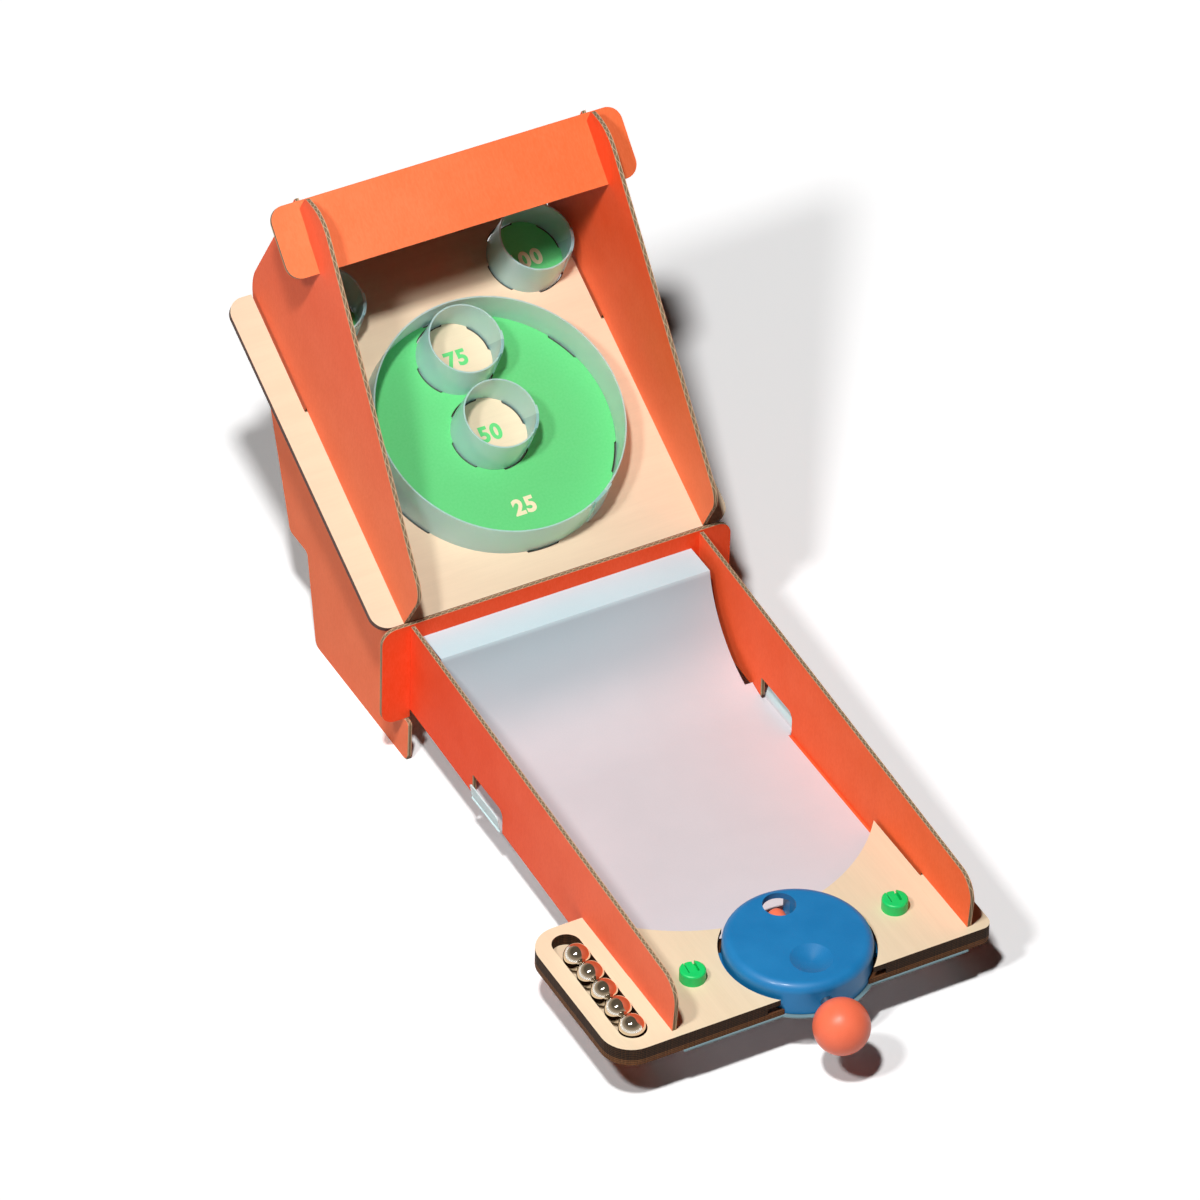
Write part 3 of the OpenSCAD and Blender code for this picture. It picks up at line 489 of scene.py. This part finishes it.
# %% Board material
material, tree, shader, place, edge = plate_material("printed_board", board_frame)
wood = use_group(tree, ply_group, Place=place, Edge=edge)
printed = disc(tree, place, BIG, BIG_DISC)
for centre in (BIG, UPPER):
    bare = disc(tree, place, centre, SMALL_DISC)
    printed = calc(tree, "SUBTRACT", printed, bare)
for centre in (LEFT_CORNER, CORNER):
    printed = calc(tree, "ADD", printed, disc(tree, place, centre, SMALL_DISC))
front = calc(tree, "GREATER_THAN", parts_of(tree, place)[2], -0.0005)
on_face = calc(tree, "MULTIPLY", front, calc(tree, "SUBTRACT", 1.0, edge))
inked = calc(tree, "MULTIPLY", printed, on_face)
roller = speckle(tree, stretched(tree, place, (1.0, 1.0, 0.0)), 900, 3.0)
green = tint(tree, roller, shade(94, 203, 118), shade(110, 211, 134))
rosy_wood = tint(tree, 0.1, wood["Color"], shade(220, 180, 172))
painted = tint(tree, inked, rosy_wood, green)
scorch_and_slot_shade = 0.0
for centre, radius, tabs, first in RING_SLOTS:
    scorch_and_slot_shade = calc(tree, "MAXIMUM", scorch_and_slot_shade, slot_rims(tree, place, centre, radius, tabs, first))
scorch_and_slot_shade = calc(tree, "MULTIPLY", scorch_and_slot_shade, on_face)
# dark slot rims: laser char and painted shade in the open slots
tree.links.new(tint(tree, scorch_and_slot_shade, painted, shade(48, 38, 28)), shader.inputs["Base Color"])
gloss = calc(tree, "MULTIPLY", inked, 0.1)
tree.links.new(calc(tree, "SUBTRACT", wood["Roughness"], gloss), shader.inputs["Roughness"])
bump = tree.nodes.new("ShaderNodeBump")
bump.inputs["Distance"].default_value = 0.00006
ink_film = calc(tree, "MULTIPLY", inked, 0.4)
tree.links.new(calc(tree, "ADD", wood["Height"], ink_film), bump.inputs["Height"])
tree.links.new(bump.outputs["Normal"], shader.inputs["Normal"])
shader.inputs["Specular IOR Level"].default_value = 0.35
dress(material, "target_board")
print("board dressed")

# %% [markdown]
# ## Score numbers
# The numbers are printed, so they are thin shapes that lie on the board. A text curve gives
# clean outlines; its offset makes the strokes bolder. It is turned into a mesh first and then
# laid on the board, so that its place is in the mesh like every other piece's.

# %% Make the numbers
def print_material(name, low, high):
    """Screen ink with a slightly uneven coat."""
    material = bpy.data.materials.new(name)
    material.use_nodes = True
    tree = material.node_tree
    spot = tree.nodes.new("ShaderNodeTexCoord")
    coat = speckle(tree, spot.outputs["Object"], 1200, 3.0)
    shader = tree.nodes["Principled BSDF"]
    tree.links.new(tint(tree, coat, low, high), shader.inputs["Base Color"])
    tree.links.new(spread(tree, coat, 0.45, 0.65), shader.inputs["Roughness"])
    return material


cream_ink = print_material("cream_ink", shade(238, 218, 176), shade(250, 236, 202))
green_ink = print_material("green_ink", shade(92, 206, 116), shade(108, 216, 130))


def score(name, text, centre, height, ink):
    """A printed number lying on the board, centred on a point in the board's frame."""
    curve = bpy.data.curves.new(name + "_outline", "FONT")
    curve.body = text
    curve.align_x = "CENTER"
    curve.align_y = "CENTER"
    curve.size = 1.0
    curve.offset = 0.04
    curve.space_character = 1.12
    curve.extrude = 0.004
    curve.resolution_u = 6
    outline = bpy.data.objects.new(name + "_outline", curve)
    mesh = bpy.data.meshes.new_from_object(outline)
    bpy.data.objects.remove(outline)
    low = Vector([min(v.co[i] for v in mesh.vertices) for i in range(3)])
    high = Vector([max(v.co[i] for v in mesh.vertices) for i in range(3)])
    grow = height * MM / (high.y - low.y)
    mesh.transform(Matrix.Diagonal((grow, grow, grow, 1)) @ Matrix.Translation(-(low + high) / 2))
    lift = Matrix.Translation((centre[0] * MM, centre[1] * MM, 0.00006))
    mesh.transform(board_frame @ lift)
    mesh.name = name
    piece = bpy.data.objects.new(name, mesh)
    scene.collection.objects.link(piece)
    mesh.materials.append(ink)
    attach(piece, "game")


NUMBER_HEIGHT = 8.1
for name, text, centre, ink in (
    ("score_25", "25", (0.2, 34.8), cream_ink),
    ("score_50", "50", (0.3, 72), green_ink),
    ("score_75", "75", (0.5, 110), green_ink),
    ("score_100_left", "100", (-52, 145.2), cream_ink),
    ("score_100_right", "100", (52, 145.2), cream_ink),
):
    score(name, text, centre, NUMBER_HEIGHT, ink)
print("score numbers printed")

# %% [markdown]
# ## Frosted plastic
# The lane sheet and the ring strips are frosted film. Frosting scatters light, so the gloss
# is broad and soft and the colour is milky. On the lane's floor the sheet is painted rosy, as
# light from the orange card, and it is bluer up the ramp and on the tabs outside the walls, so
# its colour follows the height and the distance from the lane's middle. The strips let some
# of what is behind them through, which a constant alpha on the shader gives.

# %% Group for frosted film
frost_group, inlet, outlet = new_group(
    "frosted_film", [("Place", PLACE), ("Milk", PAINT), ("Haze", PAINT)], SURFACE
)
g = frost_group
grit = speckle(g, inlet["Place"], 2600, 2.0)
haze = speckle(g, inlet["Place"], 24, 3.0)
scuff = speckle(g, stretched(g, inlet["Place"], (1.0, 0.03, 1.0)), 700, 2.0)
mottle = calc(g, "ADD", calc(g, "MULTIPLY", haze, 0.6), calc(g, "MULTIPLY", grit, 0.4))
plug(g, outlet["Color"], tint(g, step(g, mottle, 0.25, 0.75), inlet["Milk"], inlet["Haze"]))
wear = calc(g, "ADD", calc(g, "MULTIPLY", scuff, 0.5), calc(g, "MULTIPLY", grit, 0.5))
plug(g, outlet["Roughness"], spread(g, wear, 0.34, 0.56))
plug(g, outlet["Height"], calc(g, "ADD", grit, calc(g, "MULTIPLY", scuff, 0.4)))


def plain_material(name, group, depth, **values):
    """Material on Object coordinates that reads one of the shared groups."""
    material = bpy.data.materials.new(name)
    material.use_nodes = True
    tree = material.node_tree
    shader = tree.nodes["Principled BSDF"]
    spot = tree.nodes.new("ShaderNodeTexCoord")
    surface = use_group(tree, group, Place=spot.outputs["Object"], **values)
    finish_surface(tree, shader, surface, depth)
    return material, tree, shader


print("group:", frost_group.name)

# %% [markdown]
# ## The lane sheet
# Height above the table tells floor from ramp, and the distance from the lane's middle finds
# the tabs outside the walls. The steep part of the ramp is painted greyer as shade, and the
# front lip under the deck's edge is darker.

# %% Dress the lane sheet
FILMS = {
    # socket: colour on the lane's floor with painted rosy card light, colour at the top of the ramp
    "Milk": (shade(212, 206, 210), shade(202, 228, 235)),
    "Haze": (shade(220, 213, 217), shade(210, 234, 241)),
}
material, tree, shader = plain_material("frosted_sheet", frost_group, 0.00002)
across, along, height = parts_of(tree, tree.nodes["Texture Coordinate"].outputs["Object"])
outside = calc(tree, "ABSOLUTE", calc(tree, "SUBTRACT", across, LANE_X))
blue = step(tree, height, 0.022, 0.066)
tab = step(tree, outside, 0.0728, 0.0736)
below_crest = calc(tree, "SUBTRACT", 1.0, step(tree, height, 0.0635, 0.0658))
steep = calc(tree, "MULTIPLY", step(tree, height, 0.0235, 0.046), below_crest)
lip = calc(tree, "SUBTRACT", 1.0, step(tree, along, DECK_Y - 0.0003, DECK_Y + 0.0004))
frost = [node for node in tree.nodes if node.bl_idname == "ShaderNodeGroup"][0]
# painted shade on the steep part of the ramp
shaded = calc(tree, "MULTIPLY", steep, 0.42)
# the floor colour is painted rosy with the orange card's light
for layer, (rosy_card_light, cool) in FILMS.items():
    film = tint(tree, shaded, tint(tree, blue, rosy_card_light, cool), shade(144, 158, 168))
    turned_up = tint(tree, tab, film, shade(226, 252, 253))
    plug(tree, frost.inputs[layer], tint(tree, lip, turned_up, shade(112, 140, 146)))
plug(tree, shader.inputs["Alpha"], calc(tree, "SUBTRACT", 1.0, calc(tree, "MULTIPLY", tab, 0.25)))
shader.inputs["Specular IOR Level"].default_value = 0.45
dress(material, "lane_sheet")
print("lane sheet dressed")

# %% [markdown]
# ## The ring strips
# A strip's ends overlap in a slanting seam, where two films lie over each other and look
# deeper in colour. The angle round the ring's centre finds the seam, and the height turns it
# into a slant.

# %% Dress the rings
SEAM_HALF, SEAM_FADE, SEAM_LEAN, SEAM_MIDDLE = 5.0, 0.4, 0.35, 10 * MM
rings = {
    # ring: its centre on the board, its radius, and the angle of its lapped seam
    "ring_25": (BIG, BIG_R, -60),
    "ring_50": (BIG, SMALL_R, -23),
    "ring_75": (UPPER, SMALL_R, -23),
    "left_ring_100": (LEFT_CORNER, SMALL_R, -23),
    "right_ring_100": (CORNER, SMALL_R, -23),
}
for name, (centre, radius, seam) in rings.items():
    ring_frame = board_frame @ Matrix.Translation((centre[0] * MM, centre[1] * MM, 0))
    material, tree, shader, place, _ = plate_material(f"frosted_strip_{name}", ring_frame)
    x, y, z = parts_of(tree, place)
    turned = calc(tree, "SUBTRACT", calc(tree, "ARCTAN2", y, x), math.radians(seam))
    above = calc(tree, "SUBTRACT", z, SEAM_MIDDLE)
    slant = calc(tree, "MULTIPLY", above, SEAM_LEAN / (radius * MM))
    off_seam = calc(tree, "ABSOLUTE", calc(tree, "ADD", turned, slant))
    seam_end, film_start = SEAM_HALF / radius, (SEAM_HALF + SEAM_FADE) / radius
    lapped = calc(tree, "SUBTRACT", 1.0, step(tree, off_seam, seam_end, film_start))
    films = [
        tint(tree, calc(tree, "MULTIPLY", lapped, 0.6), single, shade(138, 200, 214))
        for single in (shade(196, 250, 253), shade(212, 255, 255))
    ]
    surface = use_group(tree, frost_group, Place=place, Milk=films[0], Haze=films[1])
    finish_surface(tree, shader, surface, 0.00003)
    shader.inputs["Alpha"].default_value = 0.66
    shader.inputs["Specular IOR Level"].default_value = 1.0
    shader.inputs["Coat Weight"].default_value = 1.0
    shader.inputs["Coat Roughness"].default_value = 0.3
    shader.inputs["Subsurface Weight"].default_value = 0.6
    shader.inputs["Subsurface Scale"].default_value = 0.002
    shader.inputs["Subsurface Radius"].default_value = (1.0, 1.0, 1.0)
    dress(material, name)
print("rings dressed:", len(rings))

# %% [markdown]
# ## Moulded plastic
# The launcher cap, the knob, the striker and the pegs are moulded. Their moulds were blasted,
# which leaves a fine even texture, and handling polishes it in patches. One group serves all
# three colours.

# %% Group for moulded plastic
mould_group, inlet, outlet = new_group(
    "moulded_plastic", [("Place", PLACE), ("Deep", PAINT), ("Pale", PAINT)], SURFACE
)
g = mould_group
blast = speckle(g, inlet["Place"], 3200, 1.0)
handled = speckle(g, inlet["Place"], 70, 3.0)
patch = calc(g, "ADD", calc(g, "MULTIPLY", blast, 0.35), calc(g, "MULTIPLY", handled, 0.65))
plug(g, outlet["Color"], tint(g, step(g, patch, 0.3, 0.7), inlet["Deep"], inlet["Pale"]))
plug(g, outlet["Roughness"], spread(g, handled, 0.3, 0.46))
plug(g, outlet["Height"], blast)
print("group:", mould_group.name)

# %% [markdown]
# ## The launcher's cap
# The cap is a little duller than the mould leaves it. Its finger dimple has a fine turned
# bottom: the distance from the dimple's middle gives a shallow dish and, through a sine, the
# rings that the tool has left.

# %% Dress the launcher
material, tree, shader = plain_material(
    "blue_plastic", mould_group, 0.00003, Deep=shade(18, 118, 178), Pale=shade(28, 128, 188)
)
satin = shader.inputs["Roughness"].links[0].from_socket
plug(tree, shader.inputs["Roughness"], calc(tree, "MULTIPLY", satin, 1.25))
shader.inputs["Specular IOR Level"].default_value = 0.4
shader.inputs["Coat Weight"].default_value = 0.12
shader.inputs["Coat Roughness"].default_value = 0.16
DISH_R, DISH_OUT, DISH_TOP, DISH_DEPTH = 9.6 * MM, 14.9, 36.6, 9.0
TOOL_PITCH, TOOL_MARK = 0.3 * MM, 0.8
dish_middle = lane_point(DISH_OUT * math.sin(AIM), CAP_Y - DISH_OUT * math.cos(AIM), DISH_TOP)
gap = tree.nodes.new("ShaderNodeVectorMath")
gap.operation = "DISTANCE"
plug(tree, gap.inputs[0], tree.nodes["Texture Coordinate"].outputs["Object"])
gap.inputs[1].default_value = dish_middle
away = gap.outputs["Value"]
inside = calc(tree, "SUBTRACT", 1.0, step(tree, away, 0.97 * DISH_R, DISH_R))
tool_wave = calc(tree, "SINE", calc(tree, "MULTIPLY", away, 2 * math.pi / TOOL_PITCH))
turned = calc(tree, "MULTIPLY", tool_wave, TOOL_MARK)
bowl = calc(tree, "POWER", calc(tree, "DIVIDE", away, DISH_R), 2.0)
sunk = calc(tree, "SUBTRACT", calc(tree, "MULTIPLY", bowl, DISH_DEPTH), DISH_DEPTH)
dish = calc(tree, "MULTIPLY", calc(tree, "ADD", turned, sunk), inside)
bump = tree.nodes["Bump"]
blasted = bump.inputs["Height"].links[0].from_socket
plug(tree, bump.inputs["Height"], calc(tree, "ADD", blasted, dish))
dress(material, "launcher_cap", "launcher_base")
material, tree, shader = plain_material(
    "orange_plastic", mould_group, 0.00002, Deep=shade(246, 112, 78), Pale=shade(252, 122, 88)
)
shader.inputs["Specular IOR Level"].default_value = 0.3
dress(material, "knob_ball", "striker")
material, tree, shader = plain_material(
    "green_plastic", mould_group, 0.00002, Deep=shade(10, 204, 98), Pale=shade(24, 214, 112)
)
dress(material, "left_peg", "right_peg")
print("moulded pieces dressed")

# %% [markdown]
# ## Steel
# The balls are polished bearing balls, so nearly everything seen in them is a reflection. A
# trace of uneven polish keeps them from looking like glass. The rod and the spring are drawn
# wire, whose colour and polish vary a little.

# %% Steel materials
def steel(name, low, high, smooth, rough, scale):
    """Metal whose colour and polish vary a little."""
    material = bpy.data.materials.new(name)
    material.use_nodes = True
    tree = material.node_tree
    shader = tree.nodes["Principled BSDF"]
    shader.inputs["Metallic"].default_value = 1.0
    spot = tree.nodes.new("ShaderNodeTexCoord")
    polish = speckle(tree, spot.outputs["Object"], scale, 3.0)
    tree.links.new(tint(tree, polish, low, high), shader.inputs["Base Color"])
    tree.links.new(spread(tree, polish, smooth, rough), shader.inputs["Roughness"])
    return material


ball_steel = steel("ball_steel", shade(214, 204, 190), shade(236, 229, 216), 0.03, 0.1, 300)
dress(ball_steel, *[f"steel_ball_{i}" for i in range(1, 6)])
wire_steel = steel("wire_steel", shade(170, 170, 172), shade(205, 205, 206), 0.22, 0.4, 900)
dress(wire_steel, "plunger_rod", "plunger_spring")
print("steel pieces dressed")

# %% [markdown]
# ## A wound spring
# The CAD spring is rigid, but a real one closes up as the plunger is drawn back. So a wound
# wire takes its place. A circle is spun round the plunger's axis and moved along it a little
# at every step, which is how a spring is wound on a lathe. It keeps its end at the front wall
# of its chamber.

# %% Wind the spring
WIRE, WIRE_SIDES, TURNS, STEPS, TRAVEL = 0.8 * MM, 10, 9, 24, 14 * MM
pull = Vector((math.sin(AIM), -math.cos(AIM), 0))
rigid = [v.co for v in nodes["plunger_spring"].data.vertices]
front_end = max(co.dot(pull) for co in rigid)
rear_end = min(co.dot(pull) for co in rigid)
coil_low, coil_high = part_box("plunger_spring")
axis_point = lane_point(0, CAP_Y, 0)
axis_point.z = (coil_low.z + coil_high.z) / 2
coil_r = (coil_high.z - coil_low.z - WIRE) / 2
wound = front_end - rear_end - WIRE
start = axis_point + pull * (front_end - WIRE / 2 - axis_point.dot(pull))
section = Matrix((UP, pull, UP.cross(pull))).transposed().to_4x4()
section.translation = start + UP * coil_r
coil = bmesh.new()
ring = bmesh.ops.create_circle(coil, segments=WIRE_SIDES, radius=WIRE / 2, matrix=section)["verts"]
bmesh.ops.spin(
    coil,
    geom=ring + coil.edges[:],
    cent=axis_point,
    axis=pull,
    dvec=-pull * wound / (TURNS * STEPS),
    angle=2 * math.pi * TURNS,
    steps=TURNS * STEPS,
    use_merge=False,
    use_normal_flip=False,
    use_duplicate=False,
)
bmesh.ops.holes_fill(coil, edges=[e for e in coil.edges if e.is_boundary], sides=0)
bmesh.ops.recalc_face_normals(coil, faces=coil.faces)
for face in coil.faces:
    face.smooth = True
coil_mesh = bpy.data.meshes.new("wound_spring")
coil.to_mesh(coil_mesh)
coil.free()
coil_mesh.materials.append(wire_steel)
spring = bpy.data.objects.new("wound_spring", coil_mesh)
scene.collection.objects.link(spring)
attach(spring, "launcher")
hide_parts("plunger_spring")
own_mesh(spring)

# %% [markdown]
# ## Light
# The shadows in the photograph look like those of two lamps with hardly any fill: a strong one
# high in front of the game, which throws the header's dark shadow on the board, and a weaker
# one at the left, whose shadows lie to the right of the rings. Where both are hidden, mostly
# light from the orange card and the floor arrives.

# %% Lamps
LAMPS = {
    # name: place in millimetres, radius in millimetres, power in watts
    "front_lamp": ((-437, -278, 1303), 52, 57.5),
    "left_lamp": ((-650, -180, 1000), 55, 22.0),
}
for name, (place, radius, power) in LAMPS.items():
    light = bpy.data.lights.new(name, "POINT")
    light.energy = power
    light.shadow_soft_size = radius * MM
    bulb = bpy.data.objects.new(name, light)
    bulb.location = lane_point(*place)
    scene.collection.objects.link(bulb)
print("lamps:", list(LAMPS))

# %% [markdown]
# ## Floor
# The lamps hang so near that their light fades towards the far end of the table, yet the
# ground is pure white. The floor's colour makes up for that: for rays that show it to the
# camera it is divided by the light that each lamp sends to the spot, which follows from the
# lamp's height and distance. Shadows stay as they are.

# %% Floor
FLOOR_SIZE, FLOOR_BRIGHT, FLOOR_BOUNCE = 20.0, 1.03, 0.65


def seen_rays(tree):
    """1 for rays that show a surface to the camera, straight or by way of metal and glass."""
    ray = tree.nodes.new("ShaderNodeLightPath")
    mirrored = calc(tree, "MAXIMUM", ray.outputs["Is Glossy Ray"], ray.outputs["Is Transmission Ray"])
    return calc(tree, "MAXIMUM", ray.outputs["Is Camera Ray"], mirrored)


sheet = bmesh.new()
bmesh.ops.create_grid(sheet, x_segments=1, y_segments=1, size=FLOOR_SIZE)
floor_mesh = bpy.data.meshes.new("floor")
sheet.to_mesh(floor_mesh)
sheet.free()
floor = bpy.data.objects.new("floor", floor_mesh)
scene.collection.objects.link(floor)
floor_material = bpy.data.materials.new("pale_floor")
floor_material.use_nodes = True
tree = floor_material.node_tree
shader = tree.nodes["Principled BSDF"]
shader.inputs["Roughness"].default_value = 0.9
shader.inputs["Specular IOR Level"].default_value = 0.1
spot = tree.nodes.new("ShaderNodeTexCoord").outputs["Object"]
light_here = 0.0
for place, radius, power in LAMPS.values():
    centre = lane_point(*place)
    gap = tree.nodes.new("ShaderNodeVectorMath")
    gap.operation = "DISTANCE"
    plug(tree, gap.inputs[0], spot)
    gap.inputs[1].default_value = centre
    falloff = calc(tree, "POWER", gap.outputs["Value"], -3.0)
    share = calc(tree, "MULTIPLY", falloff, centre.z * power / (4 * math.pi))
    light_here = calc(tree, "ADD", light_here, share)
even = calc(tree, "DIVIDE", math.pi * FLOOR_BRIGHT, light_here)
paint = tree.nodes.new("ShaderNodeCombineColor")
for socket in paint.inputs:
    plug(tree, socket, even)
bounce = (FLOOR_BOUNCE, FLOOR_BOUNCE, FLOOR_BOUNCE, 1)
floor_color = tint(tree, seen_rays(tree), bounce, paint.outputs["Color"])
tree.links.new(floor_color, shader.inputs["Base Color"])
floor_mesh.materials.append(floor_material)
floor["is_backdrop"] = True
print("floor laid")

# %% [markdown]
# ## Surroundings
# Steel needs something to reflect: a white room that turns warm and dark towards its ceiling.
# It is there for rays that show it to the camera. All other rays find only a trace of light.

# %% Surroundings
world = bpy.data.worlds.new("studio")
scene.world = world
world.use_nodes = True
tree = world.node_tree
background = tree.nodes["Background"]
spot = tree.nodes.new("ShaderNodeTexCoord")
height = parts_of(tree, spot.outputs["Generated"])[2]
walls = tint(tree, step(tree, height, 0.05, 0.34), (1, 1, 1, 1), (0.4, 0.33, 0.25, 1))
room = tint(tree, step(tree, height, 0.36, 0.74), walls, (0.12, 0.1, 0.075, 1))
fill = tint(tree, seen_rays(tree), (0.004, 0.004, 0.004, 1), room)
tree.links.new(fill, background.inputs["Color"])
print("world:", world.name)

# %% [markdown]
# ## Camera
# The camera's place and turn were solved from the photograph: a long lens, well above the
# game and to its left. The three directions below are the camera's right, up and back.

# %% Camera
FOCAL_PIXELS, PHOTO_PIXELS = 8645, 1200
view = bpy.data.cameras.new("camera")
view.sensor_fit = "AUTO"
view.sensor_width = 36
view.lens = FOCAL_PIXELS / PHOTO_PIXELS * view.sensor_width
view.clip_start = 0.1
view.clip_end = 100
camera = bpy.data.objects.new("camera", view)
scene.collection.objects.link(camera)
right = Vector((0.87973, -0.47494, 0.02265))
up = Vector((0.29017, 0.57400, 0.76572))
back = Vector((-0.37668, -0.66705, 0.64278))
turn = Matrix((right, up, back)).transposed().to_4x4()
turn.translation = lane_point(-1419.8, -2308.3, 2512.7)
camera.matrix_world = turn
scene.camera = camera
print("lens:", round(view.lens, 1), "mm")

# %% [markdown]
# ## Size
# The box round the dressed model is measured, with the floor left out. The dressed
# model has to keep to the box of the CAD model.

# %% Measure the size and finish
low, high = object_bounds()
